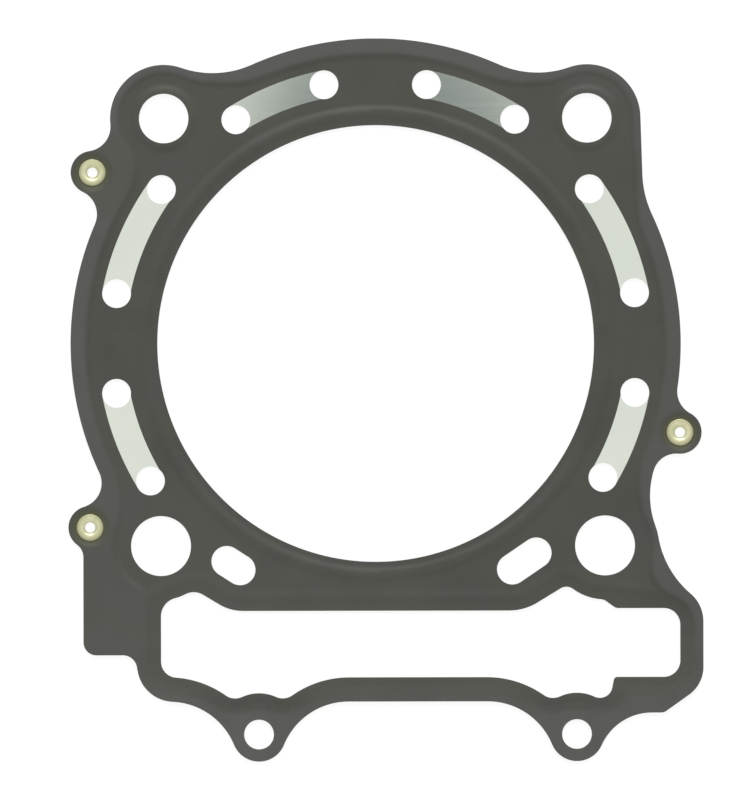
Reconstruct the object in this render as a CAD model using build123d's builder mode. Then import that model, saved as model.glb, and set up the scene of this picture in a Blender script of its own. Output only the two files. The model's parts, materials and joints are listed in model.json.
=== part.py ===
from build123d import *

# Multi-layer steel cylinder head gasket for a single-cylinder engine: two embossed outer sheets and
# a plain middle sheet, held together by three tubular rivets.
# Millimetres. The origin is on the bore axis where the gasket rests, +Z is the bore axis towards the
# cylinder head, and the opening for the timing chain is on the -Y side.

import os
from dataclasses import dataclass
from math import asin, atan2, cos, hypot, pi, radians, sin, sqrt

os.makedirs("parts", exist_ok=True)

# --- Sheets and pressing ---------------------------------------------------------------------------
outer_sheet = 0.25  # thickness of the two embossed sheets
middle_sheet = 0.40  # thickness of the plain sheet between them
flange_rise = 0.26  # how far the half bead lifts the rim of an outer sheet
flange_slope = 1.0  # width of the sloping band of the half bead
bore_bead_height = 0.24
window_bead_height = 0.10
bead_half_width = 1.7  # of both full beads
bead_crest_radius = 4.0
middle_inset = 0.15  # the middle sheet stays this far inside the outer ones

# --- Round part of the plate -----------------------------------------------------------------------
bore_radius = 48.5
plate_radius = 67.75
bore_bead_land = 2.8  # from the bore out to the full bead round it

# --- Studs, rivets and their bosses: (angle in degrees, how far outside the edge of the round part) -
upper_stud_left = (133.2, 0.9)
upper_stud_right = (46.8, 0.9)
lower_stud_left = (-136.75, -2.2)
lower_stud_right = (-41.45, 0.13)
rivets = {
    "rivet_upper_left": (148.8, 5.75),
    "rivet_lower_left": (-147.3, 7.7),
    "rivet_right": (-16.35, 2.65),
}
upper_stud_hole = 5.5  # radius, for an M10 stud
lower_stud_hole = 6.65  # radius, for the stud inside its locating dowel
screw_hole = 3.3  # radius, for an M6 screw
upper_boss_width = 6.4  # from the hole out to the edge
lower_boss_width = 5.35
screw_boss_width = 2.7
stud_rim_width = 0.9  # flat top of the raised rim round an upper stud hole
stud_rim_slope = 1.2

# --- Coolant holes ---------------------------------------------------------------------------------
slot_land = 10.1  # from the bore out to the middle line of the slots
port_radius = 3.2  # the round hole at each end of a slot, through all three sheets
slot_shoulder = 0.2  # how much a slot is narrower than its ports, on the inner side
slot_spans = ((11.0, 35.8), (58.1, 78.8), (101.2, 121.9), (144.2, 169.0), (190.8, 211.3), (329.4, 349.2))
oblong_radius = 3.4
oblong_spans = ((-124.45, -121.0), (-58.9, -52.6))

# --- Rivets and their seats ------------------------------------------------------------------------
rivet_shank = 1.6  # radius
rivet_wall = 0.45
rivet_flange_width = 1.4
rivet_flange_thickness = 0.24
rivet_flange_edge = 0.1  # bevel of the rolled flange
rivet_mouth_edge = 0.3  # flare at each end of the rivet's bore
rivet_clearance = 0.05  # between the shank and the sheets
seat_clearance = 0.35  # from the rivet's flange out to the slope of its seat
seat_slope = 1.0
ear_rim = 0.45  # from the seat out to the edge of the ear

# --- Chain opening and the case rim round it -------------------------------------------------------
window_overhang_left = 0.05  # how far the opening reaches past the middle of each lower stud
window_overhang_right = 16.7
window_drop = 14.45  # from the left lower stud down to the roof
window_height = 14.8
window_lift_right = 0.5  # how much higher the roof is at its right end
lobe_depth = 4.65  # of the dips beside the screw bosses, below the floor
screw_bulge_width = 5.85  # of the rise over each screw, from the hole out to the opening
screw_bulge_height = 1.15  # above the dips
screw_inset_left = 21.75  # from the end of the opening in to the screw
screw_inset_right = 23.0
case_rim_left = 5.3
case_rim_right = 5.1
rail_width = 5.35  # from the opening's floor down to the edge
pad_width = 7.9  # the same at the pad in the lower right corner
pad_inset = 7.4  # from the case's right side in to the end of the pad
tab_overhang = 1.5  # how far the tab reaches past the middle of the ear over it
tab_rise = 5.0  # from the opening's floor up to the foot of the tab
shoulder_step = 0.4  # how far the wall below the upper right boss lies outside it

# --- Rounds of the outer edge ----------------------------------------------------------------------
plate_sweep = 21.3  # hollow between the round part and an upper boss
ear_sweep = 5.5
ear_sweep_low = 5.2
waist_sweep = 19.5  # hollow above the lower right boss
shoulder_sweep = 22.7
case_sweep = 21.2  # hollow between the lower right boss and the case rim
case_round_left = 8.2
case_round_right = 7.6
case_round_top = 8.0
case_round_drop = 2.9
screw_sweep = 15.5
pad_sweep = 12.2
pad_round = 2.0
tab_neck = 3.45
tab_round = 2.9
tab_step = 3.15

# --- Rounds of the chain opening: some as (how far right of the stud or screw, radius) -------------
window_round_left = 3.55
window_round_right = 3.7
floor_sweep = 22.0  # hollow between a dip and the straight floor
dip_round = 3.6
dip_round_step = 2.8  # the dip beside the step in the floor
floor_step = (9.0, 0.8)
roof_step = (3.0, 2.0)
roof_peak_step = (-1.0, 2.0)
roof_peak_right = (-8.6, 2.5)
roof_bend_right = (-21.3, 12.0)
roof_bend_left = (18.25, 10.5)
roof_peak_left = (7.25, 4.0)
roof_end_left = 4.2

# --- Sealing lines ---------------------------------------------------------------------------------
plate_flange = 3.9  # from the edge of the round part in to the half bead
boss_flange = 1.75  # the same on the stud bosses
case_land = 2.6  # from the chain opening out to the half bead
window_bead_land = 3.1  # from the chain opening out to the full bead
window_bead_lead = 2.0  # how far the full bead runs on past the half bead
seal_neck_upper = 9.0  # hollows of the half bead beside the left ears
seal_neck_lower = 20.0
seal_case_left = 6.0
seal_case_right = 8.0
seal_step = 2.0

# --- Levels of the stack ---------------------------------------------------------------------------
middle_base = flange_rise + outer_sheet
top_base = middle_base + middle_sheet
stack_height = top_base + outer_sheet + flange_rise

cutting_margin = 1.0  # how far a pressing or cutting tool reaches past what it works on
meeting = 1e-4  # two ends closer than this are one point
standing = (Align.CENTER, Align.CENTER, Align.MIN)  # on its base, not round its middle


# --- Outlines: a line that runs round rollers, like a belt -----------------------------------------
@dataclass
class Roller:
    """A circle that an outline runs round: inside the outline it is a corner, outside a hollow."""

    x: float
    y: float
    radius: float
    inside: bool = True

    def grown(self, amount):
        """The same roller for an outline that lies further out by amount."""
        change = amount if self.inside else -amount
        return Roller(self.x, self.y, self.radius + change, self.inside)

    def side(self):
        return self.radius if self.inside else -self.radius


def corner(place, radius):
    return Roller(*place, radius)


def hollow(place, radius):
    return Roller(*place, radius, inside=False)


def heading(a, b):
    """Direction in radians of the straight run from roller a to roller b."""
    apart = hypot(b.x - a.x, b.y - a.y)
    lean = max(-1.0, min(1.0, (b.side() - a.side()) / apart))
    return atan2(b.y - a.y, b.x - a.x) - asin(lean)


def touch(roller, direction):
    """Where a run in that direction touches the roller."""
    return (
        roller.x + roller.side() * sin(direction),
        roller.y - roller.side() * cos(direction),
    )


def run(a, b):
    """Direction, start and end of the straight run from roller a to b, one point where they touch."""
    direction = heading(a, b)
    start = touch(a, direction)
    end = touch(b, direction)
    if hypot(end[0] - start[0], end[1] - start[1]) < meeting:
        end = start
    return direction, start, end


def draw_runs(rollers, closed=True):
    """Draw the straight runs and arcs of an outline, inside a BuildLine block."""
    following = rollers[1:] + rollers[:1] if closed else rollers[1:]
    runs = [run(a, b) for a, b in zip(rollers, following)]
    onward = runs[1:] + runs[:1] if closed else runs[1:] + [None]
    for roller, (direction, start, end), leaving in zip(following, runs, onward):
        if start != end:
            Line(start, end)
        if roller.radius > 0 and leaving is not None:
            turn = (leaving[0] - direction) % (2 * pi)
            if not roller.inside:
                turn -= 2 * pi
            ThreePointArc(end, touch(roller, direction + turn / 2), leaving[1])


def outline(rollers, grow=0.0):
    """The face inside a closed outline, drawn counter-clockwise round its rollers."""
    with BuildSketch() as shape:
        with BuildLine():
            draw_runs([roller.grown(grow) for roller in rollers])
        make_face()
    return shape.sketch


# --- Ways to place a roller against its neighbours -------------------------------------------------
def leg(roller, radius, offset):
    """Distance along a line to a circle that touches the roller, offset sideways from it."""
    return sqrt((roller.radius + radius) ** 2 - offset**2)


def reach(roller, radius):
    """Distance between the centres of a roller and a hollow that touches it."""
    return roller.radius + radius if roller.inside else roller.radius - radius


def nest(a, b, radius):
    """A hollow that touches two rollers, on the right of the way from a to b."""
    apart = hypot(b.x - a.x, b.y - a.y)
    reach_a = reach(a, radius)
    reach_b = reach(b, radius)
    along = (apart**2 + reach_a**2 - reach_b**2) / (2 * apart)
    across = sqrt(reach_a**2 - along**2)
    ux, uy = (b.x - a.x) / apart, (b.y - a.y) / apart
    return hollow((a.x + along * ux + across * uy, a.y + along * uy - across * ux), radius)


def beside(roller, radius, wall_x):
    """A hollow below the roller that touches it and has its side on the line x = wall_x."""
    x = wall_x + radius if wall_x > roller.x else wall_x - radius
    return hollow((x, roller.y - leg(roller, radius, x - roller.x)), radius)


def under(roller, radius, line_y, to_right=True):
    """A hollow beside the roller that touches it and has its top on the line y = line_y."""
    y = line_y - radius
    shift = leg(roller, radius, y - roller.y)
    return hollow((roller.x + shift if to_right else roller.x - shift, y), radius)


def hanging(boss, shift, radius):
    """A corner of the chain opening that touches the underside of a stud boss, shifted from its middle."""
    return corner((boss.x + shift, boss.y - leg(boss, radius, shift)), radius)


def dip(bulge, radius, to_right):
    """A dip in the floor of the chain opening that touches the bulge over a screw boss."""
    y = lobe_floor + radius
    shift = leg(bulge, radius, y - bulge.y)
    return corner((bulge.x + shift if to_right else bulge.x - shift, y), radius)


def shoulder(round_part, inset):
    """The hollow between the upper right boss and the round part of an outline, inset from the edge."""
    x = boss_ur.x + boss_ur.radius + shoulder_step + shoulder_sweep
    radius = shoulder_sweep + inset
    return hollow((x, leg(round_part, radius, x)), radius)


def roof_bend(boss, shift, radius):
    """A bend of the straight roof of the chain opening, shifted from the middle of a stud boss."""
    return hollow((boss.x + shift, window_roof + radius), radius)


def polar(radius, angle):
    """The place at a radius from the bore axis and an angle in degrees."""
    return (radius * cos(radians(angle)), radius * sin(radians(angle)))


def by_the_edge(place, radius):
    """A corner round a place that is given by its angle and how far outside the round part it lies."""
    angle, overhang = place
    return corner(polar(plate_radius + overhang, angle), radius)


# --- Rollers that several outlines share -----------------------------------------------------------
plate = corner((0, 0), plate_radius)
boss_ul = by_the_edge(upper_stud_left, upper_stud_hole + upper_boss_width)
boss_ur = by_the_edge(upper_stud_right, upper_stud_hole + upper_boss_width)
boss_ll = by_the_edge(lower_stud_left, lower_stud_hole + lower_boss_width)
boss_lr = by_the_edge(lower_stud_right, lower_stud_hole + lower_boss_width)

rivet_flange = rivet_shank + rivet_flange_width
seat_radius = rivet_flange + seat_clearance
ear_radius = seat_radius + seat_slope + ear_rim
ears = {name: by_the_edge(place, ear_radius) for name, place in rivets.items()}
ear_ul, ear_ll, ear_r = ears.values()

window_left = boss_ll.x - window_overhang_left
window_right = boss_lr.x + window_overhang_right
window_roof = boss_ll.y - window_drop
window_roof_right = window_roof + window_lift_right
window_floor = window_roof - window_height
lobe_floor = window_floor - lobe_depth
screw_bulge = screw_hole + screw_bulge_width
screw_level = lobe_floor + screw_bulge_height - screw_bulge
screw_l = corner((window_left + screw_inset_left, screw_level), screw_hole + screw_boss_width)
screw_r = corner((window_right - screw_inset_right, screw_level), screw_hole + screw_boss_width)

case_left = window_left - case_rim_left
case_right = window_right + case_rim_right
rail_bottom = window_floor - rail_width
pad_bottom = window_floor - pad_width
pad_right = case_right - pad_inset
tab_left = ear_ll.x - tab_overhang
tab_bottom = window_floor + tab_rise

upper_studs = [(boss_ul.x, boss_ul.y), (boss_ur.x, boss_ur.y)]
lower_studs = [(boss_ll.x, boss_ll.y), (boss_lr.x, boss_lr.y)]
screws = [(screw_l.x, screw_l.y), (screw_r.x, screw_r.y)]
rivet_places = [(ear.x, ear.y) for ear in ears.values()]

# --- Outer edge of the plate -----------------------------------------------------------------------
case_bl = corner((case_left + case_round_left, rail_bottom + case_round_left), case_round_left)
case_br = corner((case_right - case_round_right, rail_bottom + case_round_right), case_round_right)
case_tr = corner((case_right - case_round_top, window_roof_right - case_round_drop), case_round_top)
waist = nest(boss_lr, plate, waist_sweep)
edge = [
    plate,
    nest(plate, boss_ul, plate_sweep),
    boss_ul,
    nest(boss_ul, ear_ul, ear_sweep),
    ear_ul,
    nest(ear_ul, plate, ear_sweep),
    plate,
    nest(plate, ear_ll, ear_sweep),
    ear_ll,
    beside(ear_ll, tab_neck, tab_left),
    corner((tab_left + tab_round, tab_bottom + tab_round), tab_round),
    hollow((case_left - tab_step, tab_bottom - tab_step), tab_step),
    case_bl,
    nest(case_bl, screw_l, screw_sweep),
    screw_l,
    under(screw_l, screw_sweep, rail_bottom),
    under(screw_r, screw_sweep, rail_bottom, to_right=False),
    screw_r,
    under(screw_r, pad_sweep, pad_bottom),
    corner((pad_right - pad_round, pad_bottom + pad_round), pad_round),
    case_br,
    case_tr,
    nest(case_tr, boss_lr, case_sweep),
    boss_lr,
    waist,
    nest(ear_r, waist, ear_sweep_low),
    ear_r,
    nest(ear_r, plate, ear_sweep),
    plate,
    shoulder(plate, 0),
    boss_ur,
    nest(boss_ur, plate, plate_sweep),
]

# --- Chain opening ---------------------------------------------------------------------------------
window_end = window_right - window_round_right
window_br = corner((window_end, window_floor + window_round_right), window_round_right)
window_tr = corner((window_end, window_roof_right - window_round_right), window_round_right)
window_bl = corner((window_left + window_round_left, window_floor + window_round_left), window_round_left)
bulge_l = hollow(screws[0], screw_bulge)
bulge_r = hollow(screws[1], screw_bulge)
dips = [
    dip(bulge_l, dip_round, to_right=False),
    dip(bulge_l, dip_round, to_right=True),
    dip(bulge_r, dip_round, to_right=False),
    dip(bulge_r, dip_round_step, to_right=True),
]
floor_step_shift, floor_step_round = floor_step
roof_step_shift, roof_step_round = roof_step
window = [
    window_br,
    window_tr,
    hollow((boss_lr.x + roof_step_shift, window_roof_right + roof_step_round), roof_step_round),
    hanging(boss_lr, *roof_peak_step),
    hollow(lower_studs[1], boss_lr.radius),
    hanging(boss_lr, *roof_peak_right),
    roof_bend(boss_lr, *roof_bend_right),
    roof_bend(boss_ll, *roof_bend_left),
    hanging(boss_ll, *roof_peak_left),
    hollow(lower_studs[0], boss_ll.radius),
    hanging(boss_ll, roof_end_left - window_overhang_left, roof_end_left),
    window_bl,
    nest(window_bl, dips[0], floor_sweep),
    dips[0],
    bulge_l,
    dips[1],
    under(dips[1], floor_sweep, window_floor),
    under(dips[2], floor_sweep, window_floor, to_right=False),
    dips[2],
    bulge_r,
    dips[3],
    hollow((screw_r.x + floor_step_shift, window_floor - floor_step_round), floor_step_round),
]

# --- Half bead: the edge of the low area inside the raised rim -------------------------------------
seal_plate = plate.grown(-plate_flange)
seal_ul, seal_ur = boss_ul.grown(-boss_flange), boss_ur.grown(-boss_flange)
seal_ll, seal_lr = boss_ll.grown(-boss_flange), boss_lr.grown(-boss_flange)
seal_tr, seal_bl = window_tr.grown(case_land), window_bl.grown(case_land)
seal_dips = [roller.grown(case_land) for roller in dips]
seal_floor = window_floor - case_land
half_bead = [
    seal_plate,
    nest(seal_plate, seal_ul, plate_sweep + plate_flange),
    seal_ul,
    nest(seal_ul, seal_plate, seal_neck_upper),
    seal_plate,
    nest(seal_plate, seal_ll, seal_neck_lower),
    seal_ll,
    beside(seal_ll, seal_case_left, window_left - case_land),
    seal_bl,
    nest(seal_bl, seal_dips[0], floor_sweep - case_land),
    seal_dips[0],
    bulge_l.grown(case_land),
    seal_dips[1],
    under(seal_dips[1], floor_sweep - case_land, seal_floor),
    under(seal_dips[2], floor_sweep - case_land, seal_floor, to_right=False),
    seal_dips[2],
    bulge_r.grown(case_land),
    seal_dips[3],
    under(seal_dips[3], seal_step, seal_floor),
    window_br.grown(case_land),
    seal_tr,
    nest(seal_tr, seal_lr, seal_case_right),
    seal_lr,
    nest(seal_lr, seal_plate, waist_sweep + boss_flange),
    seal_plate,
    shoulder(seal_plate, boss_flange),
    seal_ur,
    nest(seal_ur, seal_plate, plate_sweep + plate_flange),
]

# --- Full bead along the roof of the chain opening, from right to left -----------------------------
window_bead = [
    corner((window_right, window_roof_right + window_bead_land), 0),
    hollow(lower_studs[1], boss_lr.radius - window_bead_land),
    hanging(boss_lr, *roof_peak_right).grown(window_bead_land),
    roof_bend(boss_lr, *roof_bend_right).grown(window_bead_land),
    roof_bend(boss_ll, *roof_bend_left).grown(window_bead_land),
    hanging(boss_ll, *roof_peak_left).grown(window_bead_land),
    hollow(lower_studs[0], boss_ll.radius - window_bead_land),
    corner((window_left - case_land - window_bead_lead, boss_ll.y - boss_ll.radius), 0),
]


def bead_section(height):
    """Section of a full bead, standing on the middle of its foot."""
    crest = corner((0, height - bead_crest_radius), bead_crest_radius)
    return outline([corner((-bead_half_width, 0), 0), corner((bead_half_width, 0), 0), crest])


# --- Press form ------------------------------------------------------------------------------------
# The low area inside the half bead, and the seats round the rivets
with BuildPart() as low_area:
    for level, grow in ((0, -flange_slope / 2), (flange_rise, flange_slope / 2)):
        with BuildSketch(Plane.XY.offset(level)):
            add(outline(half_bead, grow))
    loft(ruled=True)
    with Locations(*rivet_places):
        Cone(seat_radius, seat_radius + seat_slope, flange_rise, align=standing)

# The full beads round the bore and along the chain opening, and the rims round the upper stud holes
with BuildPart() as ridges:
    with BuildSketch(Plane.XZ):
        with Locations((bore_radius + bore_bead_land, 0)):
            add(bead_section(bore_bead_height))
    revolve(axis=Axis.Z)
    with BuildLine() as bead_path:
        draw_runs(window_bead, closed=False)
    forward = bead_path.line % 0
    across = (-forward.Y, forward.X, 0)
    with BuildSketch(Plane(origin=bead_path.line @ 0, x_dir=across, z_dir=forward)):
        add(bead_section(window_bead_height))
    sweep(path=bead_path.line)
    stud_rim = upper_stud_hole + stud_rim_width
    with Locations(*upper_studs):
        Cone(stud_rim + stud_rim_slope, stud_rim, flange_rise, align=standing)

# The form that both faces of an outer sheet follow, one sheet thickness apart
with BuildPart() as press_form:
    with BuildSketch(Plane.XY.offset(-cutting_margin)):
        add(outline(edge, cutting_margin))
    extrude(amount=cutting_margin + flange_rise)
    add(low_area.part, mode=Mode.SUBTRACT)
    add(ridges.part)


# --- Holes -----------------------------------------------------------------------------------------
slot_pitch = bore_radius + slot_land


def through_holes(inset=0.0):
    """The holes that go through all three sheets, with bore and chain opening widened by inset."""
    with BuildSketch() as holes:
        Circle(bore_radius + inset)
        add(outline(window, inset))
        with Locations(*upper_studs):
            Circle(upper_stud_hole)
        with Locations(*lower_studs):
            Circle(lower_stud_hole)
        with Locations(*screws):
            Circle(screw_hole)
        with Locations(*rivet_places):
            Circle(rivet_shank + rivet_clearance)
        for span in oblong_spans:
            add(outline([corner(polar(slot_pitch, angle), oblong_radius) for angle in span]))
        for span in slot_spans:
            with Locations(*(polar(slot_pitch, angle) for angle in span)):
                Circle(port_radius)
    return holes.sketch


def slots():
    """The curved slots of the outer sheets, which leave the middle sheet bare."""
    inner = slot_pitch - port_radius + slot_shoulder
    outer = slot_pitch + port_radius
    with BuildSketch() as shape:
        for start, end in slot_spans:
            with BuildLine():
                near = CenterArc((0, 0), inner, start, end - start)
                far = CenterArc((0, 0), outer, start, end - start)
                Line(near @ 0, far @ 0)
                Line(near @ 1, far @ 1)
            make_face()
    return shape.sketch


# --- Sheets ----------------------------------------------------------------------------------------
with BuildPart() as top_layer:
    with BuildSketch(Plane.XY.offset(top_base)):
        add(outline(edge))
    extrude(amount=outer_sheet + flange_rise)
    with Locations((0, 0, top_base)):
        add(press_form.part, mode=Mode.SUBTRACT)
    with Locations((0, 0, top_base + outer_sheet)):
        add(press_form.part, mode=Mode.INTERSECT)
    with BuildSketch(Plane.XY.offset(top_base)):
        add(through_holes())
        add(slots())
    extrude(amount=outer_sheet + flange_rise, mode=Mode.SUBTRACT)

with BuildPart() as bottom_layer:
    mirror(top_layer.part, about=Plane.XY.offset(stack_height / 2))

with BuildPart() as middle_layer:
    with BuildSketch(Plane.XY.offset(middle_base)):
        add(outline(edge, -middle_inset))
        add(through_holes(middle_inset), mode=Mode.SUBTRACT)
    extrude(amount=middle_sheet)

sheets = {"top_layer": top_layer, "middle_layer": middle_layer, "bottom_layer": bottom_layer}
for name, sheet in sheets.items():
    sheet.part.label = name
    export_step(sheet.part, f"parts/{name}.step")

# --- Tubular rivets, clinched over both outer sheets in their seats --------------------------------
for name, place in zip(ears, rivet_places):
    with BuildPart() as rivet:
        with BuildSketch(Plane(origin=(*place, 0), x_dir=(1, 0, 0), z_dir=(0, -1, 0))):
            with BuildLine():
                rivet_bore = rivet_shank - rivet_wall
                lowest = flange_rise - rivet_flange_thickness
                highest = stack_height - lowest
                Polyline(
                    (rivet_bore, lowest),
                    (rivet_flange, lowest),
                    (rivet_flange, flange_rise),
                    (rivet_shank, flange_rise),
                    (rivet_shank, stack_height - flange_rise),
                    (rivet_flange, stack_height - flange_rise),
                    (rivet_flange, highest),
                    (rivet_bore, highest),
                    close=True,
                )
            section = make_face()
            rims = section.vertices().group_by(Axis.X)
            chamfer(rims[-1], rivet_flange_edge)
            chamfer(rims[0], rivet_mouth_edge)
        revolve(axis=Axis((*place, 0), (0, 0, 1)))
    rivet.part.label = name
    export_step(rivet.part, f"parts/{name}.step")
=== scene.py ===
import json
import random
from math import atan2, ceil, cos, hypot, pi, radians, sin, sqrt

import bmesh
import bpy
from mathutils import Euler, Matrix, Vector
from mathutils.bvhtree import BVHTree
from mathutils.geometry import delaunay_2d_cdt


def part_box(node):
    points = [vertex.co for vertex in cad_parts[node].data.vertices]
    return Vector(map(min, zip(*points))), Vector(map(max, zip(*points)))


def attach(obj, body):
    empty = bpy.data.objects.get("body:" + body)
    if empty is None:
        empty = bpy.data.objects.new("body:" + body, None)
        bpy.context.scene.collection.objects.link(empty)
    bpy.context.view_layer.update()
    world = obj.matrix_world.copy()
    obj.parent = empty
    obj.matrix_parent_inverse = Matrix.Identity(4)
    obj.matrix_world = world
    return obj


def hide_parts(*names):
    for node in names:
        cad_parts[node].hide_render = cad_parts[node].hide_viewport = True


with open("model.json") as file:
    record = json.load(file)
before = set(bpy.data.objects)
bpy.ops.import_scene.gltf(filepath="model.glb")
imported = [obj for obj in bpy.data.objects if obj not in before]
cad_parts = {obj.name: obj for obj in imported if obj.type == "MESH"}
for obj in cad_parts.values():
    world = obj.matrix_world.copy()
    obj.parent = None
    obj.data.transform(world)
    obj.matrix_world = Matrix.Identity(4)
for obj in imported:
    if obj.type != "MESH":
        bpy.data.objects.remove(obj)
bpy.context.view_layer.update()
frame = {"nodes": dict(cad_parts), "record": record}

# --- Levels and places, read from the frame --------------------------------------------------------
MM = 0.001
mounts = {mount["name"]: mount for mount in frame["record"]["mounts"]}
middle_low, middle_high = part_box("middle_layer")
MIDDLE_TOP = middle_high.z
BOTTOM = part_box("bottom_layer")[0].z
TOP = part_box("top_layer")[1].z
SHEET = 0.25 * MM  # thickness of the outer sheets
LOW_AREA = MIDDLE_TOP + SHEET  # upper side of the top sheet where it lies on the middle sheet
RAISED = "raised"  # how far a point of an outer sheet is raised, from 0 to 1, blurred for the paint

stud_y = mounts["upper_studs"]["pos_m"][1]
stud_x = mounts["upper_studs"]["dims"]["spacing_x_mm"] / 2 * MM
UPPER_STUDS = [(-stud_x, stud_y), (stud_x, stud_y)]
RIVETS = ("rivet_upper_left", "rivet_lower_left", "rivet_right")


def centre(node):
    low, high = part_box(node)
    return (low + high) / 2


# --- Nodes of a material ---------------------------------------------------------------------------
NOISE_ENDS = (0.3, 0.7)  # nearly all of a noise lies between these
CLOUD_ENDS = (0.35, 0.65)  # these make clouds of it


class Painter:
    """The nodes of a new material, or of the world, and short ways to add more."""

    def __init__(self, painted):
        self.material = bpy.data.materials.new(painted) if isinstance(painted, str) else painted
        self.material.use_nodes = True
        self.nodes = self.material.node_tree.nodes
        self.links = self.material.node_tree.links
        self.shader = self.nodes.get("Principled BSDF") or self.nodes["Background"]
        self.place = self.nodes.new("ShaderNodeTexCoord").outputs["Object"]

    def feed(self, socket, value):
        """Link a socket to a socket, or set it to a number, a point or a colour."""
        if isinstance(value, bpy.types.NodeSocket):
            self.links.new(value, socket)
        elif socket.type == "RGBA":
            socket.default_value = (*value, 1.0)
        else:
            socket.default_value = value

    def maths(self, operation, *values):
        made = self.nodes.new("ShaderNodeMath")
        made.operation = operation
        for socket, value in zip(made.inputs, values):
            self.feed(socket, value)
        return made.outputs[0]

    def ramp(self, value, low, high, to_low=0.0, to_high=1.0):
        """A smooth step from to_low to to_high while value goes from low to high."""
        made = self.nodes.new("ShaderNodeMapRange")
        made.interpolation_type = "SMOOTHSTEP"
        for socket, number in zip(made.inputs, (value, low, high, to_low, to_high)):
            self.feed(socket, number)
        return made.outputs["Result"]

    def mix(self, factor, first, second):
        made = self.nodes.new("ShaderNodeMix")
        made.data_type = "RGBA"
        colours = [socket for socket in made.inputs if socket.type == "RGBA"]
        self.feed(made.inputs["Factor"], factor)
        self.feed(colours[0], first)
        self.feed(colours[1], second)
        return next(socket for socket in made.outputs if socket.type == "RGBA")

    def layered(self, colour, *layers):
        """The colour with each layer, a share and a colour of its own, laid over it in turn."""
        for share, over in layers:
            colour = self.mix(share, colour, over)
        return colour

    def noise(self, scale, detail=3.0, stretch=None):
        """Soft noise round 0.5. A stretched axis has finer noise than the others."""
        made = self.nodes.new("ShaderNodeTexNoise")
        made.inputs["Scale"].default_value = scale
        made.inputs["Detail"].default_value = detail
        coords = self.place
        if stretch:
            stretched = self.nodes.new("ShaderNodeMapping")
            stretched.inputs["Scale"].default_value = stretch
            self.feed(stretched.inputs["Vector"], coords)
            coords = stretched.outputs["Vector"]
        self.feed(made.inputs["Vector"], coords)
        return made.outputs["Fac"]

    def axes(self, vector):
        made = self.nodes.new("ShaderNodeSeparateXYZ")
        self.feed(made.inputs[0], vector)
        return made.outputs["X"], made.outputs["Y"], made.outputs["Z"]

    def carried(self, name):
        """A value that the mesh carries at its points."""
        made = self.nodes.new("ShaderNodeAttribute")
        made.attribute_name = name
        return made.outputs["Fac"]

    def distance(self, x, y):
        """How far the surface is from an upright line through x and y."""
        along_x, along_y, _ = self.axes(self.place)
        apart_x = self.maths("SUBTRACT", along_x, x)
        apart_y = self.maths("SUBTRACT", along_y, y)
        square = self.maths("MULTIPLY_ADD", apart_y, apart_y, self.maths("MULTIPLY", apart_x, apart_x))
        return self.maths("SQRT", square)

    def from_middle(self, node, low, high, most=1.0):
        """A smooth step from 0 to most while the distance from a node's middle goes from low to high."""
        middle = centre(node)
        return self.ramp(self.distance(middle.x, middle.y), low, high, 0.0, most)

    def rough(self, height, strength, depth):
        """Bumps that follow the height."""
        bump = self.nodes.new("ShaderNodeBump")
        bump.inputs["Strength"].default_value = strength
        bump.inputs["Distance"].default_value = depth
        self.feed(bump.inputs["Height"], height)
        self.feed(self.shader.inputs["Normal"], bump.outputs["Normal"])


def srgb(red, green, blue):
    """The linear colour that shows as these 0 to 255 values."""
    def linear(value):
        share = value / 255
        return share / 12.92 if share <= 0.04045 else ((share + 0.055) / 1.055) ** 2.4
    return linear(red), linear(green), linear(blue)


# --- Coat of the outer sheets ----------------------------------------------------------------------
# Where its tones pass into each other: the first and the last place of the change.
# Along Y, from the bottom of the sheet up:
FOOT_CHANGE = (-76 * MM, -80 * MM)  # round the side screws
RIM_FOOT_CHANGE = (-72 * MM, -84 * MM)
RAIL_CHANGE = (-60 * MM, -70 * MM)  # the rail below the chain opening
BODY_CHANGE = (-85 * MM, -30 * MM)
BODY_LEAN = 0.4  # that change lies askew, by this share of X
HEAD_CHANGE = (5 * MM, 40 * MM)
RIM_HEAD_CHANGE = (45 * MM, 62 * MM)
RIM_HEAD_MOST = 0.3
# Along X:
RIGHT_CHANGE = (30 * MM, 60 * MM)
FOOT_SIDES_CHANGE = (-34 * MM, -20 * MM)
# Away from the bore axis, an upper stud and a rivet:
BORE_CHANGE = (53.6 * MM, 54.6 * MM)
STUD_CHANGE = (7.6 * MM, 8.4 * MM)
STUD_SHIFT_CHANGE = (14 * MM, 11.5 * MM)
STUD_SHIFT = 0.2  # the rim's paint begins this much lower on the bend round an upper stud
EAR_CHANGE = (12.5 * MM, 9 * MM)
OLIVE_CHANGE = (4.5 * MM, 3.5 * MM)
OLIVE_MOST = 0.8
# Up the bend from the low area to the rim, and from a flat face to an upright cut:
RIM_CHANGE = (0.55, 0.97)
CUT_CHANGE = (0.25, 0.15)

# Patches in the coat: scale and detail of the noise, its two ends, how strong they are and their colour
PATCHES = (
    (70.0, 4.0, 0.35, 0.65, 0.13, (84, 84, 78)),
    (130.0, 2.0, 0.45, 0.65, 0.18, (60, 65, 46)),
    (95.0, 2.0, 0.52, 0.70, 0.18, (64, 58, 62)),
)

COAT_ROUGHNESS = (0.36, 0.46)  # on the bore bead, and outside it
RAIL_ROUGHER = 0.22
GRAIN_SCALE = 2600.0
GRAIN_ROUGHER = 0.08


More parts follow.
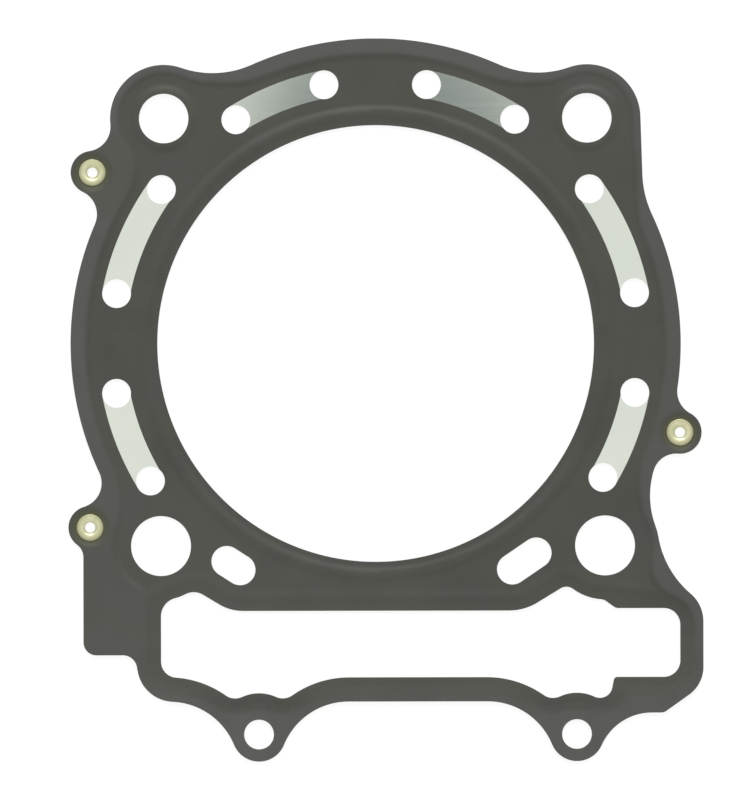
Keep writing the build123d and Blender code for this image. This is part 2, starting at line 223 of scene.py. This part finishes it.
def rim_share(paint):
    """1 on the raised rim of an outer sheet, 0 in its low area, on its beads and round the upper studs."""
    raised = paint.carried(RAISED)
    for stud in UPPER_STUDS:
        shift = paint.ramp(paint.distance(*stud), *STUD_SHIFT_CHANGE, 0.0, STUD_SHIFT)
        raised = paint.maths("ADD", raised, shift)
    rim = paint.ramp(raised, *RIM_CHANGE)
    rim = paint.maths("MULTIPLY", rim, paint.ramp(paint.distance(0, 0), *BORE_CHANGE))
    for stud in UPPER_STUDS:
        rim = paint.maths("MULTIPLY", rim, paint.ramp(paint.distance(*stud), *STUD_CHANGE))
    return rim


def coat_colour(paint, rail):
    """Dark grey-green, paler on the rim, with soft patches and an olive ring round each rivet."""
    x, y, _ = paint.axes(paint.place)
    body = paint.ramp(paint.maths("MULTIPLY_ADD", x, BODY_LEAN, y), *BODY_CHANGE)
    low_area = paint.layered(
        srgb(60, 61, 54),
        (body, srgb(52, 53, 45)),
        (paint.ramp(y, *HEAD_CHANGE), srgb(54, 55, 47)),
        (rail, srgb(67, 68, 61)),
        (paint.ramp(y, *FOOT_CHANGE), srgb(60, 61, 55)),
    )
    foot = paint.mix(paint.ramp(x, *FOOT_SIDES_CHANGE), srgb(80, 80, 77), srgb(75, 75, 72))
    rim = paint.layered(
        srgb(62, 63, 57),
        (body, srgb(68, 68, 66)),
        (paint.ramp(x, *RIGHT_CHANGE), srgb(65, 66, 62)),
        (paint.ramp(y, *RIM_HEAD_CHANGE, 0.0, RIM_HEAD_MOST), srgb(76, 76, 74)),
        (rail, srgb(71, 72, 67)),
        (paint.ramp(y, *RIM_FOOT_CHANGE), foot),
        (paint.from_middle("rivet_upper_left", *EAR_CHANGE), srgb(62, 62, 56)),
    )
    colour = paint.mix(rim_share(paint), low_area, rim)
    for scale, detail, low, high, strength, patch in PATCHES:
        share = paint.ramp(paint.noise(scale, detail), low, high)
        colour = paint.mix(paint.maths("MULTIPLY", share, strength), colour, srgb(*patch))
    for node in RIVETS:
        colour = paint.mix(paint.from_middle(node, *OLIVE_CHANGE, OLIVE_MOST), colour, srgb(66, 67, 40))
    return colour


def coating_material():
    """Matte nitrile coating on the outer sheets, paler on the rim, with bare steel where it is cut."""
    paint = Painter("nitrile_coating")
    rail = paint.ramp(paint.axes(paint.place)[1], *RAIL_CHANGE)
    normal = paint.nodes.new("ShaderNodeNewGeometry").outputs["True Normal"]
    facing = paint.maths("ABSOLUTE", paint.axes(normal)[2])
    cut = paint.ramp(facing, *CUT_CHANGE)
    grain = paint.noise(GRAIN_SCALE)
    matte = paint.ramp(paint.distance(0, 0), *BORE_CHANGE, *COAT_ROUGHNESS)
    matte = paint.maths("ADD", matte, paint.maths("MULTIPLY", rail, RAIL_ROUGHER))
    matte = paint.maths("ADD", matte, paint.ramp(grain, *NOISE_ENDS, 0.0, GRAIN_ROUGHER))
    colour = paint.mix(cut, coat_colour(paint, rail), srgb(176, 176, 170))
    paint.feed(paint.shader.inputs["Base Color"], colour)
    paint.feed(paint.shader.inputs["Metallic"], cut)
    paint.feed(paint.shader.inputs["Roughness"], matte)
    paint.rough(grain, strength=0.2, depth=0.01 * MM)
    return paint.material


# --- Metals ----------------------------------------------------------------------------------------
STEEL_ROUGHNESS = (0.09, 0.11)  # least and most
BRASS_ROUGHNESS = (0.34, 0.44)
# Painted shade on each rivet's flange: its colour darkens from FLANGE_SHADE_CHANGE outwards and stops at
# FLANGE_SHADE_END
FLANGE_SHADE_CHANGE = (1.9 * MM, 3.0 * MM)  # away from a rivet's middle, where its flange darkens outwards
FLANGE_SHADE_END = (3.6 * MM, 3.4 * MM)  # a rivet's darker flange ends here


def steel_material():
    """Bare bright rolled steel of the middle sheet."""
    paint = Painter("rolled_steel")
    cloud = paint.ramp(paint.noise(35.0, 2.0), *CLOUD_ENDS)
    lines = paint.noise(60.0, stretch=(1.0, 24.0, 1.0))
    colour = paint.mix(cloud, srgb(214, 220, 209), srgb(219, 224, 213))
    paint.feed(paint.shader.inputs["Base Color"], colour)
    paint.shader.inputs["Metallic"].default_value = 1.0
    paint.feed(paint.shader.inputs["Roughness"], paint.ramp(lines, *NOISE_ENDS, *STEEL_ROUGHNESS))
    paint.rough(lines, strength=0.004, depth=0.004 * MM)
    return paint.material


def brass_material():
    """Plain pale brass of the tubular rivets, rubbed by the clinching, with painted shade that darkens
    each flange towards its edge.
    """
    paint = Painter("pale_brass")
    cloud = paint.ramp(paint.noise(420.0), *CLOUD_ENDS)
    rubbed = paint.noise(1500.0, 4.0, stretch=(1.0, 1.0, 6.0))
    colour = paint.mix(cloud, srgb(191, 191, 153), srgb(204, 204, 169))
    for node in RIVETS:
        # Painted shade: each rivet's flange turns darker towards its rounded edge
        outer = paint.from_middle(node, *FLANGE_SHADE_CHANGE)
        flange = paint.maths("MULTIPLY", paint.from_middle(node, *FLANGE_SHADE_END), outer)
        colour = paint.mix(flange, colour, srgb(160, 160, 126))
    paint.feed(paint.shader.inputs["Base Color"], colour)
    paint.shader.inputs["Metallic"].default_value = 1.0
    paint.feed(paint.shader.inputs["Roughness"], paint.ramp(rubbed, *NOISE_ENDS, *BRASS_ROUGHNESS))
    paint.rough(rubbed, strength=0.08, depth=0.01 * MM)
    return paint.material


coating = coating_material()
steel = steel_material()
brass = brass_material()


# --- Pieces ----------------------------------------------------------------------------------------
def add_piece(name, points, faces, material, node, slot):
    """A mesh that stands for a CAD node and rides on the body."""
    mesh = bpy.data.meshes.new(name)
    mesh.from_pydata(points, [], faces)
    mesh.polygons.foreach_set("use_smooth", [True] * len(mesh.polygons))
    mesh.materials.append(material)
    piece = bpy.data.objects.new(name, mesh)
    bpy.context.scene.collection.objects.link(piece)
    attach(piece, "root")
    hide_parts(node)
    return piece


# --- Outer sheets: the pressed form of the CAD sheet, with soft bends -------------------------------
WELD = 0.001 * MM  # points of the CAD mesh closer than this are one
UPWARD = 0.5  # least upward share of the normal of a face on the upper side
GRID = 0.6 * MM  # spacing of the mesh
EDGE_STEP = 1.5 * MM  # longest step along a cut edge
ARC_TURN = radians(5)  # most that a round cut edge turns in one step
STRAIGHT = radians(0.2)  # a side of a cut edge whose arc would turn by less is straight
CORNER = radians(30)  # a cut edge that turns by less than this is round
EVEN = 0.05  # sides of one arc differ in length by less than this share
EDGE_ROOM = 0.25 * MM  # the grid stays this far from the cut edges
EVERY_TRIANGLE = 0  # the triangulation's own number for keeping those outside the cut edges too
MERGE = 1e-4  # in mm: the triangulation makes one point of points closer than this
BEND = 0.45 * MM  # how far the press draws a bend out, to each side
FELT = [(0.0, 0.0)] + [  # steps in X and Y from a place to those whose height counts there
    (BEND * share * cos(2 * pi * turn / count), BEND * share * sin(2 * pi * turn / count))
    for share, count in ((0.5, 6), (1.0, 12))
    for turn in range(count)
]
MIRROR = BOTTOM + TOP  # the height of a point and that of its mirror image, added up
BLURS = 6  # times that the raised share is blended with that of the points around


def upper_skin(node):
    """The CAD sheet's upper side: a tree to feel its height with, its points and its cut edges."""
    solid = bmesh.new()
    solid.from_mesh(frame["nodes"][node].data)
    bmesh.ops.remove_doubles(solid, verts=solid.verts, dist=WELD)
    others = [face for face in solid.faces if face.normal.z < UPWARD]
    bmesh.ops.delete(solid, geom=others, context="FACES")
    solid.verts.ensure_lookup_table()
    solid.verts.index_update()
    tree = BVHTree.FromBMesh(solid)
    points = [(vert.co.x, vert.co.y) for vert in solid.verts]
    cuts = [(edge.verts[0].index, edge.verts[1].index) for edge in solid.edges if edge.is_boundary]
    solid.free()
    return tree, points, cuts


def feel(tree, x, y):
    """Height of the upper side at a place, or None beside the sheet."""
    hit = tree.ray_cast(Vector((x, y, 2 * TOP)), Vector((0, 0, -1)))[0]
    return hit.z if hit else None


def rings(points, cuts):
    """The cut edges as closed rings of points."""
    beside = {}
    for first, last in cuts:
        beside.setdefault(first, []).append(last)
        beside.setdefault(last, []).append(first)
    found = []
    while beside:
        ring, here = [], next(iter(beside))
        while here in beside:
            ring.append(Vector(points[here]))
            first, last = beside.pop(here)
            here = first if first in beside else last
        found.append(ring)
    return found


def half_turns(ring):
    """Half the turn of the arc that each side of a ring stands for, or 0 for a straight side."""
    sides = [after - point for point, after in zip(ring, ring[1:] + ring[:1])]
    count = len(sides)
    turns = [atan2(sides[i - 1].cross(sides[i]), sides[i - 1].dot(sides[i])) for i in range(count)]

    def ends(i):
        """The sides before and after this one, with the turn to each, unless there is a corner between."""
        after = (i + 1) % count
        return [(j, turn) for j, turn in ((i - 1, turns[i]), (after, turns[after])) if abs(turn) < CORNER]

    def in_arc(i):
        """The half turn of a side that is as long as the one beside it, as the sides of one arc are."""
        even = [turn / 2 for j, turn in ends(i) if abs(sides[j].length / sides[i].length - 1) < EVEN]
        return max(even, key=abs, default=None)

    sure = [in_arc(i) for i in range(count)]

    def left_over(i):
        """The turn that the arc beside a lone side leaves to it."""
        rest = [turn - sure[j] for j, turn in ends(i) if sure[j] is not None]
        return min(rest, key=abs, default=0.0)

    return [left_over(i) if half is None else half for i, half in enumerate(sure)]


def rounded(point, after, half):
    """Points from one end of a side towards the other, on the arc that it stands for."""
    side = after - point
    count = max(1, ceil(side.length / EDGE_STEP), ceil(2 * abs(half) / ARC_TURN))
    if abs(half) < STRAIGHT:
        return [point + side * step / count for step in range(count)]
    along = side.normalized()
    across = Vector((-along.y, along.x))
    radius = side.length / 2 / sin(half)
    middle = (point + after) / 2
    turns = [half * (2 * step / count - 1) for step in range(count)]
    return [middle + radius * (sin(turn) * along + (cos(half) - cos(turn)) * across) for turn in turns]


def cut_points(node, points, cuts):
    """The cut edges again, round where the CAD mesh has the short sides of an arc."""
    low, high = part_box(node)
    placed, steps = [], []
    for ring in rings(points, cuts):
        first = len(placed)
        for point, after, half in zip(ring, ring[1:] + ring[:1], half_turns(ring)):
            for x, y in rounded(point, after, half):
                placed.append((min(max(x, low.x), high.x), min(max(y, low.y), high.y)))
        count = len(placed) - first
        steps += [(first + step, first + (step + 1) % count) for step in range(count)]
    return placed, steps


def grid_points(tree, edge_points, steps):
    """A staggered grid of points on the sheet, clear of its cut edges."""
    crowded = set()
    cell = EDGE_ROOM
    for first, last in steps:
        (x0, y0), (x1, y1) = edge_points[first], edge_points[last]
        count = ceil(hypot(x1 - x0, y1 - y0) / cell) + 1
        for step in range(count + 1):
            column = round((x0 + (x1 - x0) * step / count) / cell)
            row = round((y0 + (y1 - y0) * step / count) / cell)
            crowded.update((column + i, row + j) for i in (-1, 0, 1) for j in (-1, 0, 1))
    (low_x, low_y, _), (high_x, high_y, _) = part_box("top_layer")
    row_step = GRID * sqrt(0.75)  # with this the points beside a point are all as far away
    made = []
    for row in range(ceil((high_y - low_y) / row_step)):
        y = low_y + row * row_step
        for column in range(ceil((high_x - low_x) / GRID)):
            x = low_x + (column + row % 2 / 2) * GRID
            if (round(x / cell), round(y / cell)) not in crowded and feel(tree, x, y):
                made.append((x, y))
    return made


def soft_form(tree, x, y):
    """Height and upward normal of the sheet at a place, taken over the width of a bend."""
    felt = [(dx, dy, feel(tree, x + dx, y + dy)) for dx, dy in FELT]
    felt = [place for place in felt if place[2] is not None]
    mean_x, mean_y, mean_z = (sum(place[axis] for place in felt) / len(felt) for axis in range(3))
    # Products of the steps from the mean place, added up, give the plane that fits the heights best
    xx = yy = xy = xz = yz = 0.0
    for dx, dy, z in felt:
        dx -= mean_x
        dy -= mean_y
        dz = z - mean_z
        xx += dx * dx
        yy += dy * dy
        xy += dx * dy
        xz += dx * dz
        yz += dy * dz
    spread = xx * yy - xy * xy
    slope_x = (xz * yy - yz * xy) / spread
    slope_y = (yz * xx - xz * xy) / spread
    height = mean_z - slope_x * mean_x - slope_y * mean_y
    return min(max(height, LOW_AREA), TOP), Vector((-slope_x, -slope_y, 1)).normalized()


def parted(triangles, barrier):
    """The triangles in groups that the barrier edges part from each other."""
    def sides(triangle):
        return [frozenset(side) for side in zip(triangle, triangle[1:] + triangle[:1])]

    beside = {}
    for index, triangle in enumerate(triangles):
        for side in sides(triangle):
            if side not in barrier:
                beside.setdefault(side, []).append(index)
    left = set(range(len(triangles)))
    while left:
        group, waiting = [], [left.pop()]
        while waiting:
            index = waiting.pop()
            group.append(triangles[index])
            reached = {other for side in sides(triangles[index]) for other in beside.get(side, ())} & left
            left -= reached
            waiting += reached
        yield group


def filled(tree, points, steps):
    """Corners and triangles of the sheet between its cut edges."""
    in_mm = [Vector((x / MM, y / MM)) for x, y in points]
    made = delaunay_2d_cdt(in_mm, steps, [], EVERY_TRIANGLE, MERGE)
    corners, edges, triangles, _, origins, _ = made
    barrier = {frozenset(edge) for edge, origin in zip(edges, origins) if origin}
    triangles = [tuple(triangle) for triangle in triangles]

    def area(triangle):
        first, second, third = (corners[corner] for corner in triangle)
        return (second - first).cross(third - first) / 2

    on_sheet = []
    for group in parted(triangles, barrier):
        widest = max(group, key=area)
        middle = sum((corners[corner] for corner in widest), Vector((0, 0))) / 3 * MM
        if feel(tree, middle.x, middle.y):
            on_sheet += group
    return [corner * MM for corner in corners], on_sheet


def pressed_form():
    """Points, upward normals and triangles of the upper side of the top sheet."""
    tree, points, cuts = upper_skin("top_layer")
    edge_points, steps = cut_points("top_layer", points, cuts)
    corners, triangles = filled(tree, edge_points + grid_points(tree, edge_points, steps), steps)
    points, normals = [], []
    for x, y in corners:
        z, normal = soft_form(tree, x, y)
        points.append(Vector((x, y, z)))
        normals.append(normal)
    return points, normals, triangles


def flat_form():
    """The same of the middle sheet, which is flat."""
    tree, points, cuts = upper_skin("middle_layer")
    corners, triangles = filled(tree, *cut_points("middle_layer", points, cuts))
    normals = [Vector((0, 0, 1))] * len(corners)
    return [Vector((x, y, MIDDLE_TOP)) for x, y in corners], normals, triangles


def raised_share(points, triangles):
    """How far each point is raised from the sheet's low area, blended with the points around it."""
    shares = [(point.z - LOW_AREA) / (TOP - LOW_AREA) for point in points]
    beside = [set() for _ in points]
    for triangle in triangles:
        for corner in triangle:
            beside[corner].update(triangle)
    for _ in range(BLURS):
        shares = [sum(shares[other] for other in near) / len(near) for near in beside]
    return shares


def cut_walls(points, triangles):
    """Edges of the sheet in the order of their triangles, each with its outward normal at both ends."""
    border = {}
    for triangle in triangles:
        for start, end in zip(triangle, triangle[1:] + triangle[:1]):
            if (end, start) in border:
                del border[end, start]
            else:
                border[start, end] = None
    outward, leaving, arriving = {}, {}, {}
    for start, end in border:
        along = points[end] - points[start]
        outward[start, end] = Vector((along.y, -along.x, 0)).normalized()
        leaving[start] = arriving[end] = None
    for start, end in border:
        leaving[start] = outward[start, end]
        arriving[end] = outward[start, end]

    def shade(own, other):
        return (own + other).normalized() if other and own.dot(other) > cos(CORNER) else own

    return [
        (start, end, shade(own, arriving[start]), shade(own, leaving[end]))
        for (start, end), own in outward.items()
    ]


def sheet_mesh(name, node, form, thickness, finish, upturned=False):
    """A sheet: the form, the same form one thickness lower, and the cut walls between them.

    Upturned, it is the mirror image of that.
    """
    points, normals, triangles = form
    walls = cut_walls(points, triangles)
    count = len(points)
    drop = Vector((0, 0, thickness))
    placed = points + [point - drop for point in points]
    faces, shading = [], []
    for face in triangles:
        faces.append(face)
        shading += [normals[corner] for corner in face]
        faces.append(tuple(corner + count for corner in reversed(face)))
        shading += [-normals[corner] for corner in reversed(face)]
    for start, end, at_start, at_end in walls:
        faces.append((end, start, start + count, end + count))
        shading += [at_end, at_start, at_start, at_end]
    if upturned:
        placed = [Vector((point.x, point.y, MIRROR - point.z)) for point in placed]
        faces = [tuple(reversed(face)) for face in reversed(faces)]
        shading = [Vector((normal.x, normal.y, -normal.z)) for normal in reversed(shading)]
    material, slot = finish
    piece = add_piece(name, placed, faces, material, node, slot)
    piece.data.normals_split_custom_set(shading)
    shares = raised_share(points, triangles)
    carried = piece.data.attributes.new(RAISED, "FLOAT", "POINT")
    carried.data.foreach_set("value", shares + shares)
    return piece


pressed = pressed_form()
coated = (coating, "coated_sheet")
sheet_mesh("pressed_sheet_top", "top_layer", pressed, SHEET, coated)
sheet_mesh("pressed_sheet_bottom", "bottom_layer", pressed, SHEET, coated, upturned=True)
bare = (steel, "bare_sheet")
spacer = sheet_mesh("spacer_sheet", "middle_layer", flat_form(), middle_high.z - middle_low.z, bare)

# --- Tubular rivets, clinched over both sheets ------------------------------------------------------
RIVET_BORE = 1.15 * MM
RIVET_SHANK = 1.58 * MM
FLANGE_RADIUS = 3.0 * MM
FLANGE_THICKNESS = 0.24 * MM
MOUTH = (0.9 * MM, 0.5 * MM)  # how wide and how deep the mouth of the bore is drawn open
DOME = 0.05 * MM  # the flange is this much higher at the mouth than at its edge
ROOT = (0.1 * MM, 0.06 * MM)  # width and height of the bevel between the flange and the shank
ROUND_STEPS = 8  # along each round stretch of the section
DOME_STEPS = 6
RIVET_SIDES = 96
RIPPLE_ROOM = 0.03 * MM  # the flange is this much smaller, so that it ripples inside its CAD size
RIPPLE = 0.012 * MM  # most that one wave of the flange's edge stands out
RIPPLE_WAVES = (2, 3, 5, 8)  # round the edge


def rivet_section(half):
    """Radius and height round the upper half of a rivet's wall, from its bore to its shank."""
    wide, deep = MOUTH
    section = [(RIVET_BORE, 0.0)]
    for step in range(ROUND_STEPS + 1):
        turn = pi / 2 * step / ROUND_STEPS
        section.append((RIVET_BORE + wide * (1 - cos(turn)), half - deep * (1 - sin(turn))))
    edge = FLANGE_THICKNESS / 2
    first, last = RIVET_BORE + wide, FLANGE_RADIUS - edge
    for step in range(1, DOME_STEPS + 1):
        share = step / DOME_STEPS
        section.append((first + (last - first) * share, half - DOME * share ** 2))
    lower, upper = half - FLANGE_THICKNESS, half - DOME
    middle, reach = (upper + lower) / 2, (upper - lower) / 2
    for step in range(1, ROUND_STEPS + 1):
        turn = pi * step / ROUND_STEPS
        section.append((last + edge * sin(turn), middle + reach * cos(turn)))
    width, height = ROOT
    section += [(RIVET_SHANK + width, lower), (RIVET_SHANK, lower - height), (RIVET_SHANK, 0.0)]
    return section


def rivet(node):
    """A tube with a flange at each end, whose edges ripple a little, on each rivet in its own way."""
    low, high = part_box(node)
    upper = rivet_section((high.z - low.z) / 2)
    section = upper + [(radius, -height) for radius, height in reversed(upper)][1:-1]
    chance = random.Random(node)
    waves = [
        (count, chance.uniform(0, 2 * pi), chance.uniform(0.3, 1.0) * RIPPLE)
        for count in RIPPLE_WAVES
    ]
    middle = centre(node)
    points, faces = [], []
    for side in range(RIVET_SIDES):
        turn = 2 * pi * side / RIVET_SIDES
        wave = sum(size * sin(count * turn + phase) for count, phase, size in waves)
        for radius, height in section:
            share = min(max((radius - RIVET_SHANK) / (FLANGE_RADIUS - RIVET_SHANK), 0), 1)
            out = radius - RIPPLE_ROOM * share + wave * share ** 2
            points.append(middle + Vector((out * cos(turn), out * sin(turn), height)))
    count = len(section)
    for side in range(RIVET_SIDES):
        here, there = side * count, (side + 1) % RIVET_SIDES * count
        for step in range(count):
            after = (step + 1) % count
            faces.append((here + step, here + after, there + after, there + step))
    piece = add_piece(node + "_clinched", points, faces, brass, node, "rivet")
    solid = bmesh.new()
    solid.from_mesh(piece.data)
    bmesh.ops.recalc_face_normals(solid, faces=solid.faces)
    solid.to_mesh(piece.data)
    solid.free()


for node in RIVETS:
    rivet(node)

# --- Floor -----------------------------------------------------------------------------------------
FLOOR_HALF = 4.0  # half its width
FLOOR_DROP = 0.02 * MM  # the floor lies this far below the gasket
FLOOR_GREY = 0.20
FLOOR_UNEVEN = 0.01  # how much its grey varies to each side
FLOOR_GLOW = 0.85


def flat_stage(name, corners, material):
    """A flat object that isn't part of the gasket."""
    mesh = bpy.data.meshes.new(name)
    mesh.from_pydata(corners, [], [range(len(corners))])
    mesh.materials.append(material)
    made = bpy.data.objects.new(name, mesh)
    bpy.context.scene.collection.objects.link(made)
    return made


def seen_directly(painter):
    """1 for rays from the camera or off a glossy or clear surface, and 0 for the light on the object."""
    path = painter.nodes.new("ShaderNodeLightPath").outputs
    total = painter.maths("MAXIMUM", path["Is Camera Ray"], path["Is Glossy Ray"])
    return painter.maths("MAXIMUM", total, path["Is Transmission Ray"])


def floor_material():
    """White paper: a plain grey that keeps the shadow, and a glow that only the camera and gloss see."""
    paint = Painter("white_floor")
    paper = paint.nodes.new("ShaderNodeBsdfDiffuse")
    cloud = paint.noise(40.0, 2.0)
    tone = paint.ramp(cloud, *NOISE_ENDS, FLOOR_GREY - FLOOR_UNEVEN, FLOOR_GREY + FLOOR_UNEVEN)
    paint.feed(paper.inputs["Color"], tone)
    glow = paint.nodes.new("ShaderNodeEmission")
    paint.feed(glow.inputs["Strength"], paint.maths("MULTIPLY", seen_directly(paint), FLOOR_GLOW))
    both = paint.nodes.new("ShaderNodeAddShader")
    paint.feed(both.inputs[0], paper.outputs[0])
    paint.feed(both.inputs[1], glow.outputs[0])
    paint.feed(paint.nodes["Material Output"].inputs["Surface"], both.outputs[0])
    paint.nodes.remove(paint.shader)
    return paint.material


floor_corners = [(x * FLOOR_HALF, y * FLOOR_HALF, 0) for x, y in ((-1, -1), (1, -1), (1, 1), (-1, 1))]
floor = flat_stage("floor", floor_corners, floor_material())
floor.location.z = BOTTOM - FLOOR_DROP

# --- Light -----------------------------------------------------------------------------------------
KEY_LIGHT = 1.2
KEY_ELEVATION = radians(52)  # on the +Y side, away from the chain opening
KEY_WIDTH = radians(25)
WORLD_LIGHT = 0.70  # on the object; the camera, gloss and glass see 1

lamp = bpy.data.lights.new("key", "SUN")
lamp.energy = KEY_LIGHT
lamp.angle = KEY_WIDTH
key = bpy.data.objects.new("key", lamp)
key.rotation_euler = Euler((KEY_ELEVATION - pi / 2, 0, 0), "XYZ")
bpy.context.scene.collection.objects.link(key)

# The lamp doesn't shine on the bare steel, which mirrors and would flare white from the front
flagged = bpy.data.collections.new("flagged_from_key")
flagged.objects.link(spacer)
flagged.collection_objects[0].light_linking.link_state = "EXCLUDE"
key.light_linking.receiver_collection = flagged

world = bpy.data.worlds.new("studio")
bpy.context.scene.world = world
sky = Painter(world)
sky.feed(sky.shader.inputs["Color"], (1, 1, 1))
sky.feed(sky.shader.inputs["Strength"], sky.ramp(seen_directly(sky), 0.0, 1.0, WORLD_LIGHT, 1.0))

# The dark part of the photographer's studio, which only the mirroring metal shows
CARD_PLACE = (0.005, 0.066, 0.50)
CARD_INNER, CARD_OUTER = 0.025, 0.059  # radius of its dark middle, and of its edge
CARD_SIDES = 64
CARD_LEVEL = 0.315  # how bright its middle is, where the studio is 1
CARD_TINT = (1.0, 1.09, 1.12)  # shares of that in red, green and blue


def card_material():
    """A glow that is dark in the middle and as white as the studio at the edge."""
    paint = Painter("dark_card")
    glow = paint.nodes.new("ShaderNodeEmission")
    paler = paint.ramp(paint.distance(0, 0), CARD_INNER, CARD_OUTER)
    dark = [tint * CARD_LEVEL for tint in CARD_TINT]
    paint.feed(glow.inputs["Color"], paint.mix(paler, dark, (1, 1, 1)))
    paint.feed(paint.nodes["Material Output"].inputs["Surface"], glow.outputs[0])
    paint.nodes.remove(paint.shader)
    return paint.material


turns = [2 * pi * side / CARD_SIDES for side in range(CARD_SIDES)]
card_corners = [(CARD_OUTER * cos(turn), CARD_OUTER * sin(turn), 0) for turn in turns]
card = flat_stage("dark_card", card_corners, card_material())
card.location = CARD_PLACE
for seen in ("camera", "diffuse", "transmission", "volume_scatter", "shadow"):
    setattr(card, "visible_" + seen, False)

# --- Camera ----------------------------------------------------------------------------------------
PHOTO_WIDTH, PHOTO_HEIGHT = 736, 800
BORE_AXIS_PIXEL = (375.74, 343.48)
MM_PER_PIXEL = 0.22205  # at the gasket
PHOTO_ROLL = radians(0.1)
CAMERA_HEIGHT = 1.50
SENSOR_WIDTH = 36.0

camera_data = bpy.data.cameras.new("camera")
camera_data.sensor_fit = "HORIZONTAL"
camera_data.sensor_width = SENSOR_WIDTH
camera_data.lens = SENSOR_WIDTH * (CAMERA_HEIGHT - TOP) / (PHOTO_WIDTH * MM_PER_PIXEL * MM)
camera_data.clip_start = 0.01
camera_data.clip_end = 20.0
camera = bpy.data.objects.new("camera", camera_data)
camera.location = (
    (PHOTO_WIDTH / 2 - BORE_AXIS_PIXEL[0]) * MM_PER_PIXEL * MM,
    (BORE_AXIS_PIXEL[1] - PHOTO_HEIGHT / 2) * MM_PER_PIXEL * MM,
    CAMERA_HEIGHT,
)
camera.rotation_euler = Euler((0, 0, -PHOTO_ROLL), "XYZ")
bpy.context.scene.collection.objects.link(camera)
bpy.context.scene.camera = camera
bpy.context.scene.view_settings.view_transform = "Standard"
